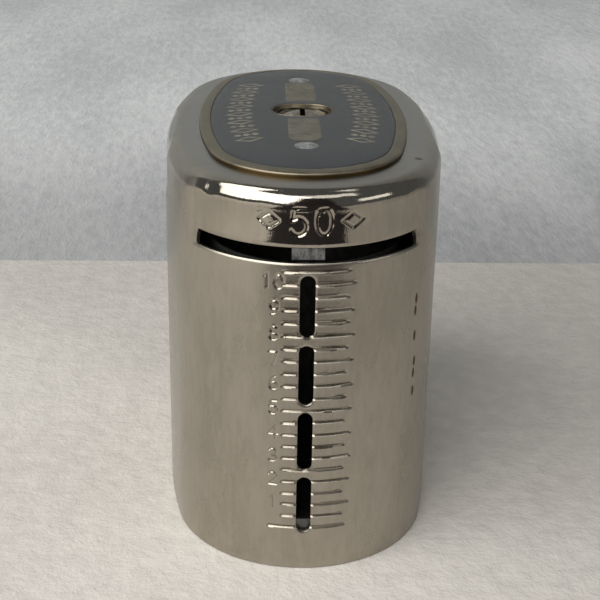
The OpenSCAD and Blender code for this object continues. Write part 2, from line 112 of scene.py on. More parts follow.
# Dents as length along the outline from the front's middle, height up the profile, radius and depth
HOLLOWS = [(-17.2, 64.2, 1.1, 0.22), (-7.2, 62.6, 1.6, 0.10), (16.9, 64.6, 0.9, 0.14), (5.8, 64.4, 0.8, 0.07),
           (-11.5, 30.0, 5.0, 0.05), (12.5, 18.0, 6.0, 0.05), (66.0, 44.0, 5.0, 0.08),
           (124.0, 22.0, 6.0, 0.07), (160.0, 50.0, 4.0, 0.06)]


# ---- Outline of the case: four tangent arcs ----

# Each quarter of the outline is an arc of END_R about (0, end_c) and one of side_r about (-side_k, 0)
end_c = BODY_D / 2 - END_R
side_step = BODY_W / 2 - END_R
side_k = (end_c ** 2 - side_step ** 2) / (2 * side_step)
side_r = BODY_W / 2 + side_k
side_a = math.atan2(end_c, side_k)
END_LEN = END_R * (math.pi / 2 - side_a)
SIDE_LEN = side_r * side_a
OUTLINE_LEN = 4 * (END_LEN + SIDE_LEN)


def outline_at(length):
    """Point and outward normal of the outline at a length along it from the middle of the front."""
    s = length % OUTLINE_LEN
    flip_x, flip_y = 1, -1
    if s > OUTLINE_LEN / 2:
        s = OUTLINE_LEN - s
        flip_x = -1
    if s > OUTLINE_LEN / 4:
        s = OUTLINE_LEN / 2 - s
        flip_y = 1
    if s <= END_LEN:
        a = math.pi / 2 - s / END_R
        point = (END_R * math.cos(a), end_c + END_R * math.sin(a))
    else:
        a = side_a - (s - END_LEN) / side_r
        point = (-side_k + side_r * math.cos(a), side_r * math.sin(a))
    normal = (math.cos(a), math.sin(a))
    return (flip_x * point[0], flip_y * point[1]), (flip_x * normal[0], flip_y * normal[1])


def side_length(y):
    """Length along the outline, from the middle of the front, of the point of the right side at y."""
    return END_LEN + SIDE_LEN + side_r * math.asin(y / side_r)


# Each stamped face: where its middle lies along the outline, its coin's width, its value, the height that
# one number stands for, the marks of its scale and the coins or marks to a number
tube = {name: node_centre(name) for name in ("halves_tube", "quarters_tube", "nickels_tube", "dimes_tube")}
FACES = {
    "front": dict(at=0.0, coin=30.6, label="50", unit=2 * HALF_T, marks=22, per=2),
    "rear": dict(at=OUTLINE_LEN / 2, coin=24.3, label="25", unit=4 * 1.75, marks=27, per=4),
    "right": dict(at=side_length(tube["nickels_tube"][1]), coin=21.2, label="5",
                  unit=4 * 1.95, marks=24, per=4),
    "left": dict(at=OUTLINE_LEN - side_length(tube["dimes_tube"][1]), coin=17.9, label="10",
                 unit=5 * 1.35, marks=35, per=5),
}

# ---- Strokes of the stamped numbers, on a grid one unit wide and one and a half tall ----


def arc_points(cx, cy, rx, ry, a0, a1, n=10):
    return [(cx + rx * math.cos(math.radians(a0 + (a1 - a0) * i / n)),
             cy + ry * math.sin(math.radians(a0 + (a1 - a0) * i / n))) for i in range(n + 1)]


DIGITS = {
    "0": [arc_points(0.5, 0.75, 0.42, 0.75, 0, 360, 24)],
    "1": [[(0.28, 1.2), (0.55, 1.5), (0.55, 0.0)]],
    "2": [arc_points(0.48, 1.06, 0.42, 0.44, 165, -35, 12) + [(0.06, 0.0), (0.95, 0.0)]],
    "3": [arc_points(0.45, 1.13, 0.38, 0.37, 150, -90, 12)
          + arc_points(0.45, 0.38, 0.43, 0.38, 90, -150, 12)],
    "4": [[(0.72, 0.0), (0.72, 1.5), (0.04, 0.45), (0.98, 0.45)]],
    "5": [[(0.88, 1.5), (0.2, 1.5), (0.12, 0.85)] + arc_points(0.46, 0.47, 0.44, 0.47, 125, -150, 14)],
    "6": [arc_points(0.9, 0.75, 0.82, 0.75, 100, 180, 8) + arc_points(0.5, 0.45, 0.42, 0.45, 180, -180, 20)],
    "7": [[(0.05, 1.5), (0.92, 1.5), (0.4, 0.0)]],
    "8": [arc_points(0.5, 1.13, 0.34, 0.37, 0, 360, 18), arc_points(0.5, 0.38, 0.42, 0.38, 0, 360, 18)],
    "9": [arc_points(0.5, 1.05, 0.42, 0.45, 0, 360, 20), arc_points(0.1, 0.75, 0.82, 0.75, 0, -80, 8)],
}


def number_strokes(text, centre, height, gap=0.35):
    """Polylines of a number, centred on a point of the face, with its height in mm."""
    unit = height / 1.5
    width = len(text) + gap * (len(text) - 1)
    left = centre[0] - width * unit / 2
    strokes = []
    for k, digit in enumerate(text):
        x0 = left + k * (1 + gap) * unit
        for line in DIGITS[digit]:
            strokes.append([(x0 + x * unit, centre[1] - height / 2 + y * unit) for x, y in line])
    return strokes


def diamond(x, y, half_w, half_h):
    return [(x - half_w, y), (x, y + half_h), (x + half_w, y), (x, y - half_h)]


def face_strokes(face):
    """Stamped strokes of one face as (polyline, half width, depth), in mm along and up the face."""
    rng = np.random.RandomState(int(face["coin"] * 10))
    strokes = []
    pitch = face["unit"] / face["per"]
    for mark in range(face["marks"]):
        z = DECK_Z + pitch * mark
        whole = mark % face["per"] == 0
        left, right = (MARK_LEFT, MARK_LONG if whole else MARK_SHORT) if mark else ZERO_MARK
        sag = rng.uniform(-0.07, 0.07, 4)
        xs = np.linspace(left, right + rng.uniform(-0.12, 0.12), 4)
        strokes.append(([(x, z + s) for x, s in zip(xs, sag)], *MARK_STROKE))
        if whole and mark > 0:
            number = str(mark // face["per"])
            place = (DIGIT_AT[len(number)], z + DIGIT_RAISE)
            for digit in number_strokes(number, place, DIGIT_H, DIGIT_GAP):
                strokes.append((digit, *DIGIT_STROKE))
    for digit in number_strokes(face["label"], LABEL_AT, LABEL_H):
        strokes.append((digit, *LABEL_STROKE))
    for side in (-1, 1):
        x = LABEL_AT[0] + side * LOZENGE_AWAY
        lozenge = diamond(x, LABEL_AT[1], LOZENGE_HALF_W, LOZENGE_HALF_H)
        strokes.append((lozenge + lozenge[:1], *LOZENGE_STROKE))
    return strokes


def stroke_depth(u, z, strokes):
    """Depth of the stamping at points (u, z) of a face, as the deepest of its strokes, with a soft lip."""
    depth = np.zeros(u.shape)
    lip = np.zeros(u.shape)
    for line, half, deep in strokes:
        line = np.array(line)
        reach = 3 * half
        near = ((u > line[:, 0].min() - reach) & (u < line[:, 0].max() + reach)
                & (z > line[:, 1].min() - reach) & (z < line[:, 1].max() + reach))
        if not near.any():
            continue
        pu, pz = u[near], z[near]
        gap = np.full(pu.shape, 1e9)
        for (x0, z0), (x1, z1) in zip(line[:-1], line[1:]):
            dx, dz = x1 - x0, z1 - z0
            t = np.clip(((pu - x0) * dx + (pz - z0) * dz) / max(dx * dx + dz * dz, 1e-9), 0, 1)
            gap = np.minimum(gap, np.hypot(pu - x0 - t * dx, pz - z0 - t * dz))
        groove = deep * np.clip(1 - (gap / half) ** 2, 0, 1) ** 0.8
        rim = 0.12 * deep * np.exp(-((gap - 1.35 * half) / (0.35 * half)) ** 2)
        depth[near] = np.maximum(depth[near], groove)
        lip[near] = np.maximum(lip[near], rim)
    return depth - lip * (depth < 0.01)


def slot_distance(u, z):
    """Signed distance to the edge of the nearest viewing slot, negative inside it."""
    best = np.full(u.shape, 1e9)
    for low, high in VIEW_SPANS:
        best = np.minimum(best, np.hypot(u, z - np.clip(z, low, high)) - VIEW_W / 2)
    return best


for face in FACES.values():
    face["strokes"] = face_strokes(face)


# ---- Meshes ----


def mesh_object(name, points, faces, smooth=True):
    """Object from points in mm and faces, in metres in the scene."""
    mesh = bpy.data.meshes.new(name)
    mesh.from_pydata([tuple(float(v) * MM for v in p) for p in points], [], faces)
    mesh.update()
    mesh.polygons.foreach_set("use_smooth", [smooth] * len(mesh.polygons))
    obj = bpy.data.objects.new(name, mesh)
    bpy.context.scene.collection.objects.link(obj)
    return obj


def sharpen(obj, degrees=35):
    """Marks edges sharper than an angle, so that smooth shading stops at them."""
    obj.data.set_sharp_from_angle(angle=math.radians(degrees))
    return obj


def face_data(obj, name, values):
    """Stores one number a vertex, for the materials to read."""
    attribute = obj.data.attributes.new(name, "FLOAT", "POINT")
    attribute.data.foreach_set("value", np.asarray(values, dtype=np.float32))


def smoothstep(x, a, b):
    t = np.clip((x - a) / (b - a), 0, 1)
    return t * t * (3 - 2 * t)


def spaced(a, b, step):
    count = max(1, round((b - a) / step))
    return [a + (b - a) * i / count for i in range(count + 1)]


# ---- The drawn case ----

# Lengths up the profile: end of the shoulder, the plate's edge, and the start and end of the blend to the
# round hole for the plug
SHOULDER_T = SHOULDER_Z + SHOULDER_R * math.pi / 2
PLATE_T = SHOULDER_T + PLATE_INSET - SHOULDER_R
TOP_T = SHOULDER_T + 12 - SHOULDER_R
HOLE_T = TOP_T + 4
HOLE_R = 4.6


def crown_height(inset):
    q = np.clip((CORE_INSET - inset) / (CORE_INSET - PLATE_INSET), 0, 1)
    return PLATE_FOOT + CROWN * (1 - q * q)


def inset_at(xy):
    """Distance of points inside the outline from it."""
    x, y = np.abs(xy[:, 0]), np.abs(xy[:, 1])
    side = side_r - np.hypot(x + side_k, y)
    end = END_R - np.hypot(x, y - end_c)
    return np.where(np.arctan2(y, x + side_k) < side_a, side, end)


def profile(t):
    """Height, inset and tilt of the case's outer surface at a length t up its profile."""
    turn = np.clip((t - SHOULDER_Z) / SHOULDER_R, 0, math.pi / 2)
    z = np.where(t < SHOULDER_Z, t, SHOULDER_Z + SHOULDER_R * np.sin(turn))
    beyond = np.clip(t - SHOULDER_T, 0, TOP_T - SHOULDER_T)
    inset = SHOULDER_R * (1 - np.cos(turn)) + beyond
    slope = SHOULDER_DROP * np.clip(beyond / (PLATE_INSET - SHOULDER_R), 0, 1)
    z = np.where(t > SHOULDER_T, PLATE_FOOT - SHOULDER_DROP + slope, z)
    return np.where(inset > PLATE_INSET, crown_height(inset), z), inset, turn


def slot_half_length(face):
    """Half the length of a face's coin slot, measured along the outline."""
    half = (face["coin"] + SLOT_OVER) / 2
    if face["at"] in (FACES["front"]["at"], FACES["rear"]["at"]):
        return END_R * math.asin(half / END_R)
    return side_r * math.asin(half / side_r)


def face_offset(s, at):
    """Length along the outline from the middle of a face, taken the short way round."""
    return (s - at + OUTLINE_LEN / 2) % OUTLINE_LEN - OUTLINE_LEN / 2


def in_coin_slot(s, t):
    return SLOT_Z < t < SLOT_TOP and any(
        abs(face_offset(s, face["at"])) < slot_half_length(face) for face in FACES.values())


def in_view_slot(s, t):
    if t > SLOT_Z:
        return False
    for face in FACES.values():
        u = face_offset(s, face["at"])
        if abs(u) < VIEW_W:
            return slot_distance(np.array([u]), np.array([t]))[0] < 0
    return False


def pressed(s, edge):
    """For each face, how far an area over its slot covers the points, and how high its top crease runs."""
    wider, reach = edge
    for face in FACES.values():
        half = slot_half_length(face)
        u = np.abs(face_offset(s, face["at"]))
        side = half + wider
        crease = CREASE_T - CREASE_SAG * np.clip(u / half, 0, 1.2) ** 2
        yield 1 - smoothstep(u, side - reach, side + reach), crease


def band_inset(s, t):
    """How far the band above each coin slot and the shoulder over it are pressed in."""
    total = np.zeros(s.shape)
    lean = BAND_LOW + (BAND_DEPTH - BAND_LOW) * smoothstep(t, SLOT_TOP, BAND_FULL)
    ease = 1 - CREASE_EASE * smoothstep(t, BAND_FULL + 1, CREASE_T - 0.6)
    for across, crease in pressed(s, PRESS_EDGE):
        fade = ease * (1 - smoothstep(t, crease - 0.6, crease))
        total += lean * across * smoothstep(t, SLOT_Z, SLOT_TOP) * fade
    return total


def polish(s, t):
    """How far the surface is polished: fully over each pressed area."""
    total = np.zeros(s.shape)
    above_slot = smoothstep(t, SLOT_TOP - 0.3, SLOT_TOP)
    for across, crease in pressed(s, POLISH_EDGE):
        total += across * above_slot * (1 - smoothstep(t, crease - 0.1, crease + 0.25))
    return total


def dents(s, t):
    """Shallow dents and the slight waviness of drawn sheet."""
    total = WAVE * np.sin(s * 0.37 + 0.11 * t) * np.sin(0.19 * t + 1.3)
    for at, level, size, deep in HOLLOWS:
        total += deep * np.exp(-(face_offset(s, at) ** 2 + (t - level) ** 2) / size ** 2)
    return total * (t > 1.5)


def stamping(s, t):
    """Depth of the stamped scales and numbers at points of the case."""
    depth = np.zeros(s.shape)
    for face in FACES.values():
        u = face_offset(s, face["at"])
        near = (np.abs(u) < 12) & (t < SHOULDER_Z + 1)
        if near.any():
            depth[near] += stroke_depth(u[near], t[near], face["strokes"])
    return depth


def case_depth(s, t):
    """How far the outer surface lies inside the plain case: band, dents, stamping, rounded slot edges."""
    depth = band_inset(s, t) + dents(s, t) + stamping(s, t)
    for face in FACES.values():
        u = face_offset(s, face["at"])
        near = np.abs(u) < 2 * VIEW_W
        depth[near] += VIEW_ROUND * np.clip(1 - slot_distance(u[near], t[near]) / LIP, 0, 1) ** 2
        gap = np.maximum(SLOT_Z - t, t - SLOT_TOP)
        beside_slot = (np.abs(u) < slot_half_length(face) + LIP) & (gap > -1e-6)
        depth += SLOT_ROUND * beside_slot * np.clip(1 - gap / LIP, 0, 1) ** 2
    return depth


def case_points(s, t, inner):
    """Positions on the outer or inner surface of the case, in mm."""
    z, inset, turn = profile(t)
    flat = [outline_at(v) for v in s]
    point = np.array([p for p, _ in flat])
    normal = np.array([n for _, n in flat])
    depth = WALL + band_inset(s, t) if inner else case_depth(s, t)
    xy = point - normal * (inset + (depth + STAND_IN) * np.cos(turn))[:, None]
    z = z - depth * np.sin(turn)
    f = np.clip((t - TOP_T) / (HOLE_T - TOP_T), 0, 1)[:, None]
    xy = xy * (1 - f) + normal * HOLE_R * f
    over = crown_height(inset_at(xy)) - (WALL if inner else 0)
    return np.column_stack([xy, np.where(t > TOP_T, over, z)])


class Lines:
    """Values that count as one where they lie within MERGE, so that neighbouring cells meet exactly."""

    PER_MM = 500           # buckets that a value is looked up in

    def __init__(self):
        self.known = {}

    def at(self, value):
        place = round(value * self.PER_MM)
        for near in (place, place - 1, place + 1):
            if abs(self.known.get(near, 1e9) - value) < MERGE:
                return self.known[near]
        self.known[place] = value
        return value


along_lines, up_lines = Lines(), Lines()


def key(s, t):
    s = s % OUTLINE_LEN
    return (along_lines.at(0.0 if OUTLINE_LEN - s < MERGE else s), up_lines.at(t))


def with_lines(values, exact):
    """Sorted lines, dropping those closer than a tenth of a millimetre to an exact one."""
    kept = [v for v in values if all(abs(v - e) > 0.1 for e in exact)]
    return sorted(kept + list(exact))


def patches(inner):
    """Finely divided parts of the case, each as its columns from the outline's start and its rows."""
    found = []
    for name, face in FACES.items():
        fine, plain, row = FRONT_STEPS if name == "front" else OTHER_STEPS
        cols = spaced(-SLOT_PATCH, SLOT_PATCH, fine)
        if not inner:
            cols += spaced(DIGIT_LEFT, DIGIT_RIGHT, fine) + spaced(DIGIT_RIGHT, -SLOT_PATCH, plain)
            cols += spaced(SLOT_PATCH, TICK_RIGHT, plain)
            label = spaced(*LABEL_SPAN, row * LABEL_COARSER)
            found.append(([face["at"] + c for c in label], spaced(*LABEL_ROWS, row * LABEL_COARSER)))
        found.append((sorted(set(face["at"] + c for c in cols)), spaced(*SCALE_ROWS, row)))
    return found


def coarse_lines():
    """Columns that run through the whole case, and so through every patch."""
    col_edges = [c for inner in (False, True) for cols, _ in patches(inner) for c in (cols[0], cols[-1])]
    for face in FACES.values():
        half = slot_half_length(face)
        col_edges += [face["at"] - half, face["at"] + half]
    col_edges = sorted(set(along_lines.at(c % OUTLINE_LEN) for c in col_edges))
    cols = []
    for a, b in zip(col_edges, col_edges[1:] + [col_edges[0] + OUTLINE_LEN]):
        front = abs(face_offset((a + b) / 2, 0)) < slot_half_length(FACES["front"]) + 4
        cols += spaced(a, b, FRONT_STEP if front else SIDE_STEP)[:-1]
    return cols + [cols[0] + OUTLINE_LEN]


def coarse_rows(inner):
    """Rows that run round the whole case."""
    edges = sorted({SHELL_FOOT, SCALE_ROWS[0], SCALE_ROWS[1], SLOT_Z - LIP, SLOT_Z - LIP / 3, SLOT_Z,
                    SLOT_TOP, SLOT_TOP + LIP / 3, SLOT_TOP + LIP, LABEL_ROWS[0], SHOULDER_Z})
    rows = []
    for a, b in zip(edges, edges[1:]):
        rows += spaced(a, b, WALL_ROW if b <= SCALE_ROWS[1] else BAND_ROW)[:-1]
    outer = 0 if inner else 1
    rows += spaced(SHOULDER_Z, SHOULDER_T, SHOULDER_ROW[outer])[:-1]
    rows += spaced(SHOULDER_T, PLATE_T, RING_ROW[outer])[:-1]
    return rows + spaced(PLATE_T, TOP_T, PLATE_ROW)[:-1] + spaced(TOP_T, HOLE_T, HOLE_ROW)


def near_turn(cols, value):
    """The value, moved by whole turns of the outline to lie by the columns."""
    return value + OUTLINE_LEN * round(((cols[0] + cols[-1]) / 2 - value) / OUTLINE_LEN)


def between(values, a, b):
    return [v for v in values if a + MERGE < v < b - MERGE]


def case_cells(inner):
    """Cells of one surface of the case as rings of (s, t) keys, with fine ones in the patches."""
    cols, rows = coarse_lines(), coarse_rows(inner)
    fine = []
    for patch_cols, patch_rows in patches(inner):
        first, last = patch_cols[0] - MERGE, patch_cols[-1] + MERGE
        low, high = patch_rows[0] - MERGE, patch_rows[-1] + MERGE
        lines = sorted({round(near_turn(patch_cols, c), 6) for c in cols})
        lines = with_lines(patch_cols, [c for c in lines if first < c < last])
        fine.append((lines, with_lines(patch_rows, [r for r in rows if low < r < high])))

    def patch_of(s, t):
        for lines, levels in fine:
            if lines[0] < near_turn(lines, s) < lines[-1] and levels[0] < t < levels[-1]:
                return lines, levels
        return None

    cells = []
    for c0, c1 in zip(cols, cols[1:]):
        cm = (c0 + c1) / 2
        for r0, r1 in zip(rows, rows[1:]):
            rm = (r0 + r1) / 2
            if patch_of(cm, rm) or in_coin_slot(cm, rm):
                continue
            ring = []
            for row, step in ((r0, 1), (r1, -1)):
                beyond = patch_of(cm, row - step * 2 * MERGE)
                ends = (c0, c1)[::step]
                ring.append((ends[0], row))
                if beyond:
                    shift = near_turn(beyond[0], cm) - cm
                    ring += [(v - shift, row) for v in between(beyond[0], c0 + shift, c1 + shift)][::step]
                ring.append((ends[1], row))
                beside = patch_of(ends[1] + step * 2 * MERGE, rm)
                if beside:
                    ring += [(ends[1], v) for v in between(beside[1], r0, r1)][::step]
            cells.append([key(*p) for p in ring])
    for lines, levels in fine:
        for a, b in zip(lines, lines[1:]):
            for c, d in zip(levels, levels[1:]):
                if not in_view_slot((a + b) / 2, (c + d) / 2):
                    cells.append([key(a, c), key(b, c), key(b, d), key(a, d)])
    return cells


def open_edges(cells):
    """Directed edges that only one cell has."""
    edges = [edge for ring in cells for edge in zip(ring, ring[1:] + ring[:1])]
    count = {}
    for edge in edges:
        count[frozenset(edge)] = count.get(frozenset(edge), 0) + 1
    return [edge for edge in edges if count[frozenset(edge)] == 1]


def on_slot_edge(s, t):
    """A point by a viewing slot, moved onto the slot's edge."""
    for face in FACES.values():
        u = face_offset(s, face["at"])
        if abs(u) < VIEW_W and t < SLOT_Z - LIP:
            middles = [np.clip(t, low, high) for low, high in VIEW_SPANS]
            middle = min(middles, key=lambda m: math.hypot(u, t - m))
            scale = VIEW_W / 2 / math.hypot(u, t - middle)
            return s - u + u * scale, middle + (t - middle) * scale
    return s, t


def build_case():
    """The case as one closed mesh: both surfaces, joined round the foot, the slots and the plug's hole."""
    points, faces, rims, marks, shine = [], [], [], [], []
    for inner in (False, True):
        cells = case_cells(inner)
        keys = sorted({k for ring in cells for k in ring})
        index = {k: i + len(points) for i, k in enumerate(keys)}
        rim = open_edges(cells)
        on_rim = {k for edge in rim for k in edge if SHELL_FOOT < k[1] < SLOT_Z - LIP}
        placed = np.array([on_slot_edge(*k) if k in on_rim else k for k in keys])
        s, t = placed[:, 0], placed[:, 1]
        points += list(case_points(s, t, inner))
        marks += list(np.zeros(len(s)) if inner else np.maximum(stamping(s, t), 0) / MARK_STROKE[1])
        shine += list(np.zeros(len(s)) if inner else polish(s, t))
        turn = -1 if inner else 1
        faces += [[index[k] for k in ring][::turn] for ring in cells]
        rims.append((rim, index))
    (outer_rim, outer), (inner_rim, inner) = rims
    if {frozenset(e) for e in outer_rim} != {frozenset(e) for e in inner_rim}:
        raise ValueError("the case's two surfaces don't meet at its openings")
    faces += [[outer[b], outer[a], inner[a], inner[b]] for a, b in outer_rim]
    case = mesh_object("case_shell", points, faces)
    face_data(case, "stamp", marks)
    face_data(case, "polish", shine)
    return sharpen(case)


case = build_case()

# ---- Name plate ----

# Heights above the crown of the rim, of the field inside it and of the enamel on that
RIM_LIFT, FIELD_LIFT, ENAMEL_LIFT = 0.75, 0.45, 0.70
RIM_W = 1.95
KEYHOLE = (10.4, 7.8)
PANEL = dict(width=5.4, near=5.6, far=18.9, near_chamfer=0.45, front_chamfer=1.3, rear_chamfer=0.5)
# Inset and lift of the rings of a panel's bevelled edge
PANEL_RINGS = [(0.0, 0.58), (0.0, 0.69), (0.10, 0.725), (0.6, 0.728), (1.4, 0.73)]
# Down each side of the plate: how many shapes, the first one's y, their pitch and how far in they lie; then
# half sizes of the lozenges and dots, places of the dots, and width, foot and top of the raised strips
ORNAMENT_COUNT, ORNAMENT_FROM, ORNAMENT_PITCH, ORNAMENT_INSET = 15, -20.3, 2.9, 12.9
ORNAMENT_LOZENGE, ORNAMENT_DOT, DOTS_AT = (2.1, 1.15), (0.42, 0.42), (-1.45, 0, 1.45)
STRIP = (0.40, 0.66, 0.725)
RIVET_R, RIVET_SHANK, RIVET_DOME, RIVET_RINGS = 2.0, 1.0, 0.40, 12
RIVET_SEAT = PLATE_FOOT + CROWN + FIELD_LIFT
rivet_y = node_size("plate_rivets")[1] / 2 - RIVET_R


def keyhole_point(normal, grow):
    """Point of the keyhole's rounded outline with that outward normal, moved out by grow."""
    straight = (KEYHOLE[0] - KEYHOLE[1]) / 2
    radius = KEYHOLE[1] / 2 + grow
    return (math.copysign(straight, normal[0]) + radius * normal[0], radius * normal[1])


def plate_rings(name, rings, columns=200):
    """Closed mesh of rings: (inset, lift) round the plate, or (grow, lift, "key") round the keyhole."""
    points = []
    for place, lift, *kind in rings:
        for i in range(columns):
            point, normal = outline_at(OUTLINE_LEN * i / columns)
            if kind:
                x, y = keyhole_point(normal, place)
            else:
                x, y = point[0] - place * normal[0], point[1] - place * normal[1]
            points.append((x, y, lift))
    points = np.array(points)
    points[:, 2] += crown_height(np.maximum(inset_at(points[:, :2]), PLATE_INSET))
    faces = []
    for j in range(len(rings)):
        k = (j + 1) % len(rings)
        for i in range(columns):
            n = (i + 1) % columns
            faces.append([j * columns + i, j * columns + n, k * columns + n, k * columns + i])
    return sharpen(mesh_object(name, points, faces), 50)


IN = PLATE_INSET
plate = plate_rings("name_plate_rim", [
    (IN, 0.02), (IN, 0.40), (IN + 0.03, 0.55), (IN + 0.12, 0.68), (IN + 0.30, 0.74), (IN + 0.6, RIM_LIFT),
    (IN + 1.1, RIM_LIFT), (IN + 1.6, 0.74), (IN + 1.82, 0.71), (IN + 1.92, 0.62), (IN + RIM_W, 0.46),
    (IN + RIM_W + 0.3, FIELD_LIFT), (IN + 5, FIELD_LIFT), (IN + 8, FIELD_LIFT), (2.5, FIELD_LIFT, "key"),
    (0.22, FIELD_LIFT, "key"), (0.20, 0.66, "key"), (0.16, 0.70, "key"), (0.08, 0.70, "key"),
    (0.02, 0.64, "key"), (0.0, 0.55, "key"), (0.0, 0.3, "key"), (0.0, 0.02, "key"), (2.5, 0.02, "key"),
    (IN + 8, 0.02), (IN + 4, 0.02)])
enamel = plate_rings("plate_enamel", [
    (IN + RIM_W + 0.04, 0.47), (IN + RIM_W + 0.05, 0.60), (IN + RIM_W + 0.12, 0.66),
    (IN + RIM_W + 0.35, 0.69), *[(IN + across, ENAMEL_LIFT) for across in (3.2, 4.4, 5.6, 7, 8.5)],
    *[(grow, ENAMEL_LIFT, "key") for grow in (2.8, 1.4, 0.6)], (0.30, 0.67, "key"), (0.24, 0.62, "key"),
    (0.23, 0.47, "key"), (3, 0.47, "key"), (IN + 8, 0.47), (IN + 5, 0.47)])


def lifted(xy, lift):
    """Points of the plan, at a lift above the crown."""
    xy = np.atleast_2d(xy)
    return np.column_stack([xy, crown_height(inset_at(xy)) + lift])


def raised_band(line, width, low, high):
    """Points and faces of a raised strip along a closed line in plan, with bevelled sides."""
    line = np.array(line, dtype=float)
    count = len(line)
    first = line - np.roll(line, 1, 0)
    second = np.roll(line, -1, 0) - line
    for part in (first, second):
        part /= np.hypot(part[:, 0], part[:, 1])[:, None]
    side = np.column_stack([-(first + second)[:, 1], (first + second)[:, 0]])
    side /= np.hypot(side[:, 0], side[:, 1])[:, None]
    normal = np.column_stack([-first[:, 1], first[:, 0]])
    side /= np.maximum((side * normal).sum(1), 0.45)[:, None]
    rails = [(-0.5, low), (-0.5, (low + high) / 2), (-0.32, high),
             (0.32, high), (0.5, (low + high) / 2), (0.5, low)]
    points = np.vstack([lifted(line + side * width * across, up) for across, up in rails])
    faces = []
    for j in range(len(rails)):
        k = (j + 1) % len(rails)
        for i in range(count):
            n = (i + 1) % count
            faces.append([k * count + i, k * count + n, j * count + n, j * count + i])
    return points, faces


def ornament():
    """A run of lozenges and rows of three dots down each side of the plate."""
    points, faces = [], []
    for side in (-1, 1):
        for k in range(ORNAMENT_COUNT):
            edge, normal = outline_at(side_length(ORNAMENT_FROM + ORNAMENT_PITCH * k))

            def place(across, along):
                x = edge[0] - (ORNAMENT_INSET + across) * normal[0] - along * normal[1]
                y = edge[1] - (ORNAMENT_INSET + across) * normal[1] + along * normal[0]
                return side * x, y

            if k % 2:
                shapes = [diamond(at, 0, *ORNAMENT_DOT) for at in DOTS_AT]
            else:
                shapes = [diamond(0, 0, *ORNAMENT_LOZENGE)]
            for line in shapes:
                p, f = raised_band([place(*v) for v in line], *STRIP)
                faces += [[i + len(points) for i in ring][::side] for ring in f]
                points += list(p)
    return sharpen(mesh_object("plate_ornament", points, faces), 40)


ornament_piece = ornament()


def number_panel(name, side):
    """Chamfered panel with a bevelled edge, flush with the enamel's top."""
    half, near, far, c = PANEL["width"] / 2, PANEL["near"], PANEL["far"], PANEL["near_chamfer"]
    out = PANEL["front_chamfer"] if side < 0 else PANEL["rear_chamfer"]
    corners = [(-half + c, near), (half - c, near), (half, near + c), (half, far - out),
               (half - out * 0.85, far), (-half + out * 0.85, far), (-half, far - out), (-half, near + c)]
    outline = []
    for (x0, y0), (x1, y1) in zip(corners, corners[1:] + corners[:1]):
        count = max(1, round(math.hypot(x1 - x0, y1 - y0) / 0.9))
        outline += [(x0 + (x1 - x0) * i / count, y0 + (y1 - y0) * i / count) for i in range(count)]
    outline = np.array(outline)
    middle = np.array([0, (near + far) / 2])
    points, faces = [], []
    for shrink, lift in PANEL_RINGS:
        scale = 1 - shrink / np.array([half, (far - near) / 2])
        ring = middle + (outline - middle) * scale
        ring[:, 1] *= side
        points += list(lifted(ring, lift))
    n = len(outline)
    for j in range(len(PANEL_RINGS) - 1):
        for i in range(n):
            k = (i + 1) % n
            faces.append([j * n + i, j * n + k, (j + 1) * n + k, (j + 1) * n + i][::side])
    faces.append([(len(PANEL_RINGS) - 1) * n + i for i in range(n)][::side])
    faces.append(list(range(n))[::-side])
    return sharpen(mesh_object(name, points, faces), 60)


panel_front = number_panel("panel_front", -1)
panel_rear = number_panel("panel_rear", 1)


def lathe(profile_points, centre, bump, turns=48):
    """Points and faces of a turned shape from (radius, height) pairs that start and end on the axis."""
    points, faces, rings = [], [], []
    for r, z in profile_points:
        if r == 0:
            rings.append([len(points)])
            points.append((centre[0], centre[1], z))
            continue
        rings.append(list(range(len(points), len(points) + turns)))
        for i in range(turns):
            a = 2 * math.pi * i / turns
            x, y = r * math.cos(a), r * math.sin(a)
            points.append((centre[0] + x, centre[1] + y, z + bump(x, y)))
    for low, high in zip(rings, rings[1:]):
        for i in range(turns):
            n = (i + 1) % turns
            if len(low) == 1:
                faces.append([low[0], high[n], high[i]])
            elif len(high) == 1:
                faces.append([low[i], low[n], high[0]])
            else:
                faces.append([low[i], low[n], high[n], high[i]])
    return points, faces


def rivets():
    """Two hammered rivet heads, each with its own dents."""
    rng = np.random.RandomState(7)
    points, faces = [], []
    for side in (-1, 1):
        spots = rng.uniform(-1.4, 1.4, (7, 2))
        deep = rng.uniform(-0.09, 0.16, 7)

        def hammered(x, y):
            return -sum(d * math.exp(-((x - sx) ** 2 + (y - sy) ** 2) / 0.35)
                        for (sx, sy), d in zip(spots, deep))

        foot, edge = RIVET_SEAT - 0.3, RIVET_SEAT + 0.12
        turned = [(0, foot), (RIVET_SHANK, foot), (RIVET_SHANK, RIVET_SEAT + 0.1), (RIVET_R, edge)]
        for i in range(1, RIVET_RINGS + 1):
            r = RIVET_R * (1 - i / RIVET_RINGS)
            turned.append((r, edge + RIVET_DOME * (1 - (r / RIVET_R) ** 2)))
        p, f = lathe(turned, (0, side * rivet_y), hammered)
        faces += [[i + len(points) for i in ring] for ring in f]
        points += p
    return sharpen(mesh_object("plate_rivet_heads", points, faces), 50)


rivet_piece = rivets()

# ---- Materials ----

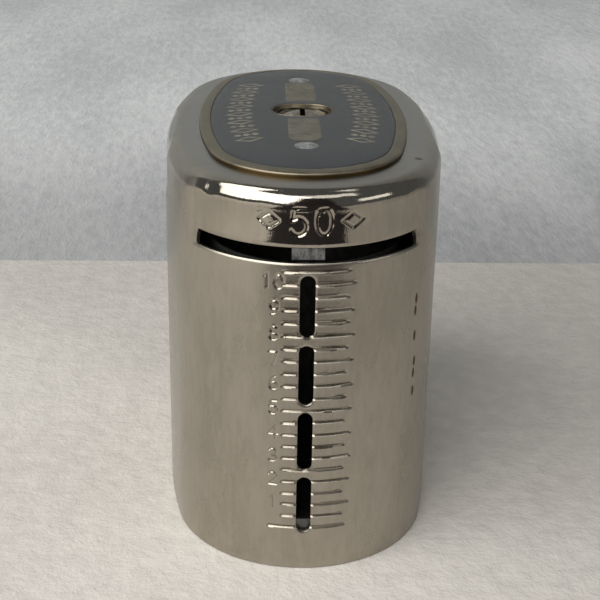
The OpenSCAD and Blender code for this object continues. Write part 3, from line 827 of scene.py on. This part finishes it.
# The top's tint is painted shade: the top of the case is coloured darker and greyer than its walls
WALL_DARK, WALL_LIGHT, TOP_PAINTED_SHADE = (0.365, 0.335, 0.28), (0.44, 0.402, 0.342), (0.36, 0.355, 0.34)
RIM_DARK, RIM_LIGHT, RIM_GRIME = (0.21, 0.185, 0.135), (0.30, 0.265, 0.20), (0.10, 0.065, 0.025)
ENAMEL_DARK, ENAMEL_LIGHT, CHIP = (0.031, 0.034, 0.036), (0.050, 0.053, 0.056), (0.30, 0.29, 0.27)
TAN_DARK, TAN_LIGHT = (0.115, 0.105, 0.083), (0.17, 0.155, 0.12)
ORNAMENT_DARK, ORNAMENT_LIGHT = (0.17, 0.155, 0.115), (0.34, 0.31, 0.235)
GROOVE_TINT, RUST, STAIN = (0.22, 0.18, 0.13), (0.14, 0.085, 0.03), (0.05, 0.045, 0.04)
# Heights in metres over which the case takes the top's colour, a painted shade, and its roughness
TOP_PAINTED_SHADE_AT, TOP_DULL_AT = (0.0655, 0.0660), (0.0635, 0.0655)
TOP_ROUGH, POLISHED_ROUGH = 0.30, 0.075
# Places of rust specks and of a dark stain on the case, in mm
SPECKS = [(17.8, -30.41, 45.0), (17.73, -30.51, 42.95), (17.8, -30.41, 38.5), (18.0, -30.12, 33.8),
          (17.93, -30.22, 31.7), (17.98, -30.15, 28.4)]
DARK_SPOTS = [(17.9, -22.6, 65.9)]


class Shade:
    """A Principled material with its nodes, whose patterns lie in the object's own space."""

    def __init__(self, name, colour, metallic, roughness):
        self.material = bpy.data.materials.new(name)
        self.material.use_nodes = True
        self.tree = self.material.node_tree
        self.bsdf = self.tree.nodes["Principled BSDF"]
        self.bsdf.inputs["Base Color"].default_value = (*colour, 1)
        self.bsdf.inputs["Metallic"].default_value = metallic
        self.bsdf.inputs["Roughness"].default_value = roughness
        self.where = self.node("ShaderNodeTexCoord").outputs["Object"]

    def node(self, kind, **settings):
        made = self.tree.nodes.new(kind)
        for name, value in settings.items():
            setattr(made, name, value)
        return made

    def feed(self, socket, value):
        """Links a socket, or sets it where value is a constant."""
        if isinstance(value, bpy.types.NodeSocket):
            self.tree.links.new(value, socket)
        elif value is not None:
            colour = isinstance(value, tuple) and len(value) == 3 and len(socket.default_value) == 4
            socket.default_value = (*value, 1) if colour else value

    def noise(self, scale, stretch, detail, roughness):
        """Noise whose features are about 1/scale metres, times the stretch along each axis."""
        mapping = self.node("ShaderNodeMapping")
        self.feed(mapping.inputs["Vector"], self.where)
        mapping.inputs["Scale"].default_value = [1 / s for s in stretch]
        made = self.node("ShaderNodeTexNoise")
        self.feed(made.inputs["Vector"], mapping.outputs["Vector"])
        made.inputs["Scale"].default_value = scale
        made.inputs["Detail"].default_value = detail
        made.inputs["Roughness"].default_value = roughness
        return made.outputs["Fac"]

    def spread(self, value, low, high, to_low=0.0, to_high=1.0):
        made = self.node("ShaderNodeMapRange")
        made.interpolation_type = "SMOOTHSTEP"
        self.feed(made.inputs["Value"], value)
        for name, number in (("From Min", low), ("From Max", high), ("To Min", to_low), ("To Max", to_high)):
            made.inputs[name].default_value = number
        return made.outputs["Result"]

    def sum(self, a, b, operation="ADD"):
        made = self.node("ShaderNodeMath", operation=operation)
        self.feed(made.inputs[0], a)
        self.feed(made.inputs[1], b)
        return made.outputs[0]

    def blend(self, factor, a, b):
        made = self.node("ShaderNodeMix", data_type="RGBA")
        self.feed(made.inputs[0], factor)
        self.feed(made.inputs[6], a)
        self.feed(made.inputs[7], b)
        return made.outputs[2]

    def mix(self, factor, a, b):
        made = self.node("ShaderNodeMix", data_type="FLOAT")
        self.feed(made.inputs[0], factor)
        self.feed(made.inputs[2], a)
        self.feed(made.inputs[3], b)
        return made.outputs[0]

    def height(self):
        made = self.node("ShaderNodeSeparateXYZ")
        self.feed(made.inputs[0], self.where)
        return made.outputs["Z"]

    def stored(self, name):
        return self.node("ShaderNodeAttribute", attribute_name=name).outputs["Fac"]

    def spots(self, places, size, tall=1.0):
        """One near any of the places, falling to nothing at size, in mm; tall times as high as wide."""
        total = None
        squeeze = self.node("ShaderNodeVectorMath", operation="MULTIPLY")
        self.feed(squeeze.inputs[0], self.where)
        squeeze.inputs[1].default_value = (1, 1, 1 / tall)
        for x, y, z in places:
            gap = self.node("ShaderNodeVectorMath", operation="DISTANCE")
            self.feed(gap.inputs[0], squeeze.outputs[0])
            gap.inputs[1].default_value = (x * MM, y * MM, z * MM / tall)
            near = self.spread(gap.outputs["Value"], size * MM * 0.6, size * MM, 1.0, 0.0)
            total = near if total is None else self.sum(total, near, "MAXIMUM")
        return total

    def set(self, colour, roughness, bump, bump_depth):
        """Sets the colour, the roughness where one is passed, and a bump with its depth in metres."""
        self.feed(self.bsdf.inputs["Base Color"], colour)
        self.feed(self.bsdf.inputs["Roughness"], roughness)
        made = self.node("ShaderNodeBump")
        made.inputs["Strength"].default_value = 1.0
        made.inputs["Distance"].default_value = bump_depth
        self.feed(made.inputs["Height"], bump)
        self.feed(self.bsdf.inputs["Normal"], made.outputs["Normal"])
        return self.material


def nickel_case():
    shade = Shade("worn_nickel", (0.66, 0.62, 0.56), 1.0, 0.28)
    streaks = shade.noise(1100, (1, 1, 4), 5, 0.65)
    clouds = shade.noise(110, (1, 1, 1.8), 5, 0.6)
    grain = shade.noise(5200, (1, 1, 1.6), 2, 0.5)
    tone = shade.sum(shade.sum(streaks, 0.4, "MULTIPLY"), shade.sum(clouds, 0.6, "MULTIPLY"))
    colour = shade.blend(shade.spread(tone, 0.36, 0.64), WALL_DARK, WALL_LIGHT)
    height = shade.height()
    # Painted shade: towards its top the case is blended to a darker, greyer colour
    painted_top_shade = shade.spread(height, *TOP_PAINTED_SHADE_AT)
    colour = shade.blend(shade.sum(painted_top_shade, 0.75, "MULTIPLY"), colour, TOP_PAINTED_SHADE)
    groove = shade.spread(shade.stored("stamp"), 0.15, 1.0)
    colour = shade.blend(shade.sum(groove, 0.45, "MULTIPLY"), colour, GROOVE_TINT)
    specks = shade.spots(SPECKS, 0.48, 2.4)
    colour = shade.blend(specks, colour, RUST)
    spot = shade.spots(DARK_SPOTS, 0.8)
    colour = shade.blend(shade.sum(spot, 0.8, "MULTIPLY"), colour, STAIN)
    wall = shade.spread(clouds, 0.3, 0.7, 0.24, 0.36)
    dull = shade.mix(shade.spread(height, *TOP_DULL_AT), wall, TOP_ROUGH)
    rough = shade.mix(shade.stored("polish"), dull, POLISHED_ROUGH)
    final = shade.sum(rough, shade.sum(specks, 0.3, "MULTIPLY"))
    scuffs = shade.sum(shade.sum(grain, 0.75, "MULTIPLY"), shade.sum(streaks, 0.25, "MULTIPLY"))
    return shade.set(colour, final, scuffs, 0.000012)


def metal(name, dark, light, rough, scale, stretch=(1, 1, 1), bump=0.00003):
    """Worn metal: two tones in soft patches, with roughness and a fine bump that follow them."""
    shade = Shade(name, light, 1.0, rough[0])
    patches_of = shade.noise(scale, stretch, 4, 0.6)
    grain = shade.noise(scale * 9, stretch, 3, 0.6)
    tone = shade.sum(shade.sum(patches_of, 0.7, "MULTIPLY"), shade.sum(grain, 0.3, "MULTIPLY"))
    colour = shade.blend(shade.spread(tone, 0.34, 0.66), dark, light)
    return shade.set(colour, shade.spread(tone, 0.3, 0.7, rough[1], rough[0]), grain, bump)


def brass_plate():
    shade = Shade("dull_brass", (0.47, 0.41, 0.30), 1.0, 0.42)
    clouds = shade.noise(240, (1, 1, 1), 4, 0.6)
    grain = shade.noise(2600, (1, 1, 1), 3, 0.6)
    colour = shade.blend(shade.spread(clouds, 0.3, 0.7), RIM_DARK, RIM_LIGHT)
    edge = shade.spread(shade.height(), (PLATE_FOOT + 0.62) * MM, (PLATE_FOOT + 0.36) * MM, 0.0, 1.0)
    colour = shade.blend(edge, colour, RIM_GRIME)
    return shade.set(colour, shade.spread(clouds, 0.3, 0.7, 0.36, 0.5), grain, 0.000012)


def enamel_slate():
    shade = Shade("slate_enamel", (0.05, 0.053, 0.056), 0.0, 0.3)
    shade.bsdf.inputs["Specular IOR Level"].default_value = 0.28
    clouds = shade.noise(110, (1, 1, 1), 5, 0.6)
    grain = shade.noise(1900, (1, 1, 1), 4, 0.6)
    tone = shade.sum(shade.sum(clouds, 0.7, "MULTIPLY"), shade.sum(grain, 0.3, "MULTIPLY"))
    colour = shade.blend(shade.spread(tone, 0.35, 0.65), ENAMEL_DARK, ENAMEL_LIGHT)
    chips = shade.spread(shade.noise(700, (1, 1, 1), 2, 0.4), 0.79, 0.82)
    colour = shade.blend(chips, colour, CHIP)
    return shade.set(colour, shade.spread(tone, 0.3, 0.7, 0.26, 0.40), grain, 0.00001)


def worn_tan(name, dark, light):
    shade = Shade(name, light, 0.35, 0.5)
    clouds = shade.noise(420, (1, 1, 1), 5, 0.65)
    grain = shade.noise(2600, (1, 1, 1), 3, 0.6)
    colour = shade.blend(shade.spread(clouds, 0.2, 0.75), dark, light)
    return shade.set(colour, shade.spread(clouds, 0.3, 0.7, 0.62, 0.44), grain, 0.00002)


LOOKS = {
    "nickel_plate": nickel_case(),
    "brass_rim": brass_plate(),
    "enamel": enamel_slate(),
    "panel_tan": worn_tan("worn_tan", TAN_DARK, TAN_LIGHT),
    "bright_steel": metal("bright_steel", (0.46, 0.45, 0.43), (0.70, 0.69, 0.67), (0.09, 0.20), 500),
    "lock_brass": metal("aged_plug", (0.12, 0.09, 0.05), (0.56, 0.52, 0.44), (0.08, 0.25), 170),
    "ornament": worn_tan("raised_tan", ORNAMENT_DARK, ORNAMENT_LIGHT),
    "rivet_steel": metal("hammered_steel", (0.34, 0.33, 0.32), (0.84, 0.83, 0.81), (0.10, 0.24), 700,
                         bump=0.0001),
    "tinplate": metal("dull_tinplate", (0.105, 0.105, 0.10), (0.19, 0.19, 0.182), (0.42, 0.58), 420,
                      (1, 1, 2)),
    "base_steel": metal("plain_steel", (0.24, 0.23, 0.22), (0.42, 0.41, 0.39), (0.32, 0.52), 200),
    "spring_steel": metal("scuffed_steel", (0.12, 0.125, 0.125), (0.58, 0.59, 0.59), (0.30, 0.55), 1300,
                          (1, 1, 2.5)),
}

# ---- What each piece stands for, rides on and looks like ----

for piece, nodes, finish, look in (
    (case, ["outer_shell"], "nickel_plate", "nickel_plate"),
    (plate, ["name_plate"], "brass_rim", "brass_rim"),
    (enamel, ["enamel_field"], "enamel", "enamel"),
    (ornament_piece, [], "panel_tan", "ornament"),
    (panel_front, ["number_panel_front"], "panel_tan", "panel_tan"),
    (panel_rear, ["number_panel_rear"], "panel_tan", "panel_tan"),
    (rivet_piece, ["plate_rivets"], "bright_steel", "rivet_steel"),
):
    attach(piece, "case")
    if nodes:
        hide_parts(*nodes)
    piece.data.materials.clear()
    piece.data.materials.append(LOOKS[look])

for look, names in (
    ("lock_brass", ["lock_plug", "lock_case", "lock_cover"]),
    ("tinplate", ["guard_bracket_front", "guard_bracket_rear", "guard_bracket_left", "guard_bracket_right",
                  "coin_deck", "halves_tube", "quarters_tube", "nickels_tube", "dimes_tube", "head_plate",
                  "post_front", "post_rear", "post_front_left", "post_front_right", "post_rear_left",
                  "post_rear_right", "keeper_front", "keeper_rear"]),
    ("bright_steel", ["lock_rivets", "cover_screws", "guard_pin_front", "guard_pin_rear", "guard_pin_left",
                      "guard_pin_right", "lock_cam", "cam_screw", "keeper_rivets", "head_screws",
                      "base_screws"]),
    ("spring_steel", ["guard_front", "guard_rear", "guard_left", "guard_right"]),
    ("base_steel", ["base_plate", "base_skirt"]),
):
    for name in names:
        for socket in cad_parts[name].material_slots:
            socket.material = LOOKS[look]

# ---- Floor, backdrop and light ----


def stage_material(name, dark, light, scale, rough, bump, painted_shades=(), stretch=(1, 1, 1)):
    """Stone of two tones, darkened by painted shade: each entry is an axis, two places on it in mm and how
    far the colour darkens between.
    """
    shade = Shade(name, light, 0.0, rough)
    clouds = shade.noise(scale, stretch, 6, 0.6)
    grain = shade.noise(scale * 26, stretch, 4, 0.7)
    tone = shade.sum(shade.sum(clouds, 0.6, "MULTIPLY"), shade.sum(grain, 0.4, "MULTIPLY"))
    colour = shade.blend(shade.spread(tone, 0.35, 0.65), dark, light)
    place = shade.node("ShaderNodeSeparateXYZ")
    shade.feed(place.inputs[0], shade.where)
    # Painted shade: the stone's colour is darkened along an axis
    for axis, near, far, amount in painted_shades:
        painted_shade = shade.spread(place.outputs[axis], near * MM, far * MM, 0, amount)
        colour = shade.blend(painted_shade, colour, (0, 0, 0))
    return shade.set(colour, None, grain, bump)


def plane(name, corners, look):
    obj = mesh_object(name, corners, [list(range(len(corners)))], smooth=False)
    obj.data.materials.append(look)


# The grey ground past GROUND_Y stands where the photograph has its wall, so that no wall hides the case
# from behind
GROUND_Y, FAR_Y = 99.0, 520.0
# The floor's colour holds painted shade, darker towards GROUND_Y, and a painted shadow, darker towards the
# right of the case
plane("floor", [(-900, -900, 0), (900, -900, 0), (900, GROUND_Y, 0), (-900, GROUND_Y, 0)],
      stage_material("floor_stone", (0.60, 0.57, 0.53), (0.735, 0.70, 0.65), 9, 0.85, 0.0006,
                     [("Y", 10, GROUND_Y, 0.13), ("X", -20, 130, 0.22)]))
# The ground's colour holds painted shade, darkest at GROUND_Y
plane("ground", [(-900, GROUND_Y, 0), (900, GROUND_Y, 0), (900, FAR_Y, 0), (-900, FAR_Y, 0)],
      stage_material("ground_stone", (0.53, 0.545, 0.55), (0.78, 0.79, 0.79), 14, 0.9, 0.0006,
                     [("Y", 257, GROUND_Y, 0.42)], (1, 3, 1)))
plane("backdrop", [(-900, FAR_Y, 0), (900, FAR_Y, 0), (900, FAR_Y, 900), (-900, FAR_Y, 900)],
      stage_material("backdrop_stone", (0.36, 0.375, 0.38), (0.48, 0.495, 0.50), 4, 0.9, 0.0006))

CARD_AIM = (0, -20, 50)


def sky_card(name, azimuth, elevation, distance, size, radiance, colour):
    """Soft area light facing the case; azimuth from the front to the right, distance and size in mm."""
    a, e = math.radians(azimuth), math.radians(elevation)
    place = Vector((distance * math.cos(e) * math.sin(a), -distance * math.cos(e) * math.cos(a),
                    CARD_AIM[2] + distance * math.sin(e))) * MM
    data = bpy.data.lights.new(name, "AREA")
    data.shape = "RECTANGLE"
    data.size, data.size_y = size[0] * MM, size[1] * MM
    data.energy = math.pi * radiance * size[0] * size[1] * MM * MM
    data.color = colour
    obj = bpy.data.objects.new(name, data)
    bpy.context.scene.collection.objects.link(obj)
    obj.location = place
    obj.rotation_euler = (Vector(CARD_AIM) * MM - place).to_track_quat("-Z", "Y").to_euler()


sky_card("sky_left", -47, 40, 1100, (1400, 1150), 3.3, (1.0, 0.985, 0.96))
sky_card("sky_right", 60, 20, 900, (480, 220), 1.5, (1.0, 0.99, 0.97))
sky_card("sky_top", 24, 60, 900, (620, 320), 1.3, (1.0, 0.99, 0.98))

# A dark figure behind the camera, seen only in the case's reflections
figure = mesh_object("figure", [(-95, -152, 0.5), (90, -148, 0.5), (140, -330, 110), (-60, -330, 110),
                                (120, -345, 480), (-30, -345, 480)], [[0, 1, 2, 3], [3, 2, 4, 5]])
figure.data.materials.append(
    stage_material("figure_dark", (0.030, 0.024, 0.026), (0.045, 0.036, 0.040), 9, 0.9, 0.0001))
figure.visible_camera = False
figure.visible_diffuse = False
figure.visible_shadow = False

world = bpy.data.worlds.new("overcast")
bpy.context.scene.world = world
world.use_nodes = True
world.node_tree.nodes["Background"].inputs["Color"].default_value = (0.94, 0.98, 1.0, 1)
world.node_tree.nodes["Background"].inputs["Strength"].default_value = 0.13

bpy.context.scene.view_settings.view_transform = "Standard"

# ---- Camera ----

CAMERA_AT = (-7.588, -224.319, 127.808)
PITCH, YAW, ROLL, LENS, SENSOR = 23.209, 1.988, 1.056, 79.35, 36.0


def add_camera():
    pitch, yaw, roll = (math.radians(a) for a in (PITCH, YAW, ROLL))
    ahead = Vector((math.sin(yaw) * math.cos(pitch), math.cos(yaw) * math.cos(pitch), -math.sin(pitch)))
    right = Vector((math.cos(yaw), -math.sin(yaw), 0))
    up = right.cross(ahead)
    across = math.cos(roll) * right + math.sin(roll) * up
    upward = -math.sin(roll) * right + math.cos(roll) * up
    data = bpy.data.cameras.new("camera")
    data.lens, data.sensor_width, data.clip_start = LENS, SENSOR, 0.005
    obj = bpy.data.objects.new("camera", data)
    bpy.context.scene.collection.objects.link(obj)
    turn = Matrix((across, upward, -ahead)).transposed()
    obj.matrix_world = Matrix.Translation(Vector(CAMERA_AT) * MM) @ turn.to_4x4()
    bpy.context.scene.camera = obj


add_camera()
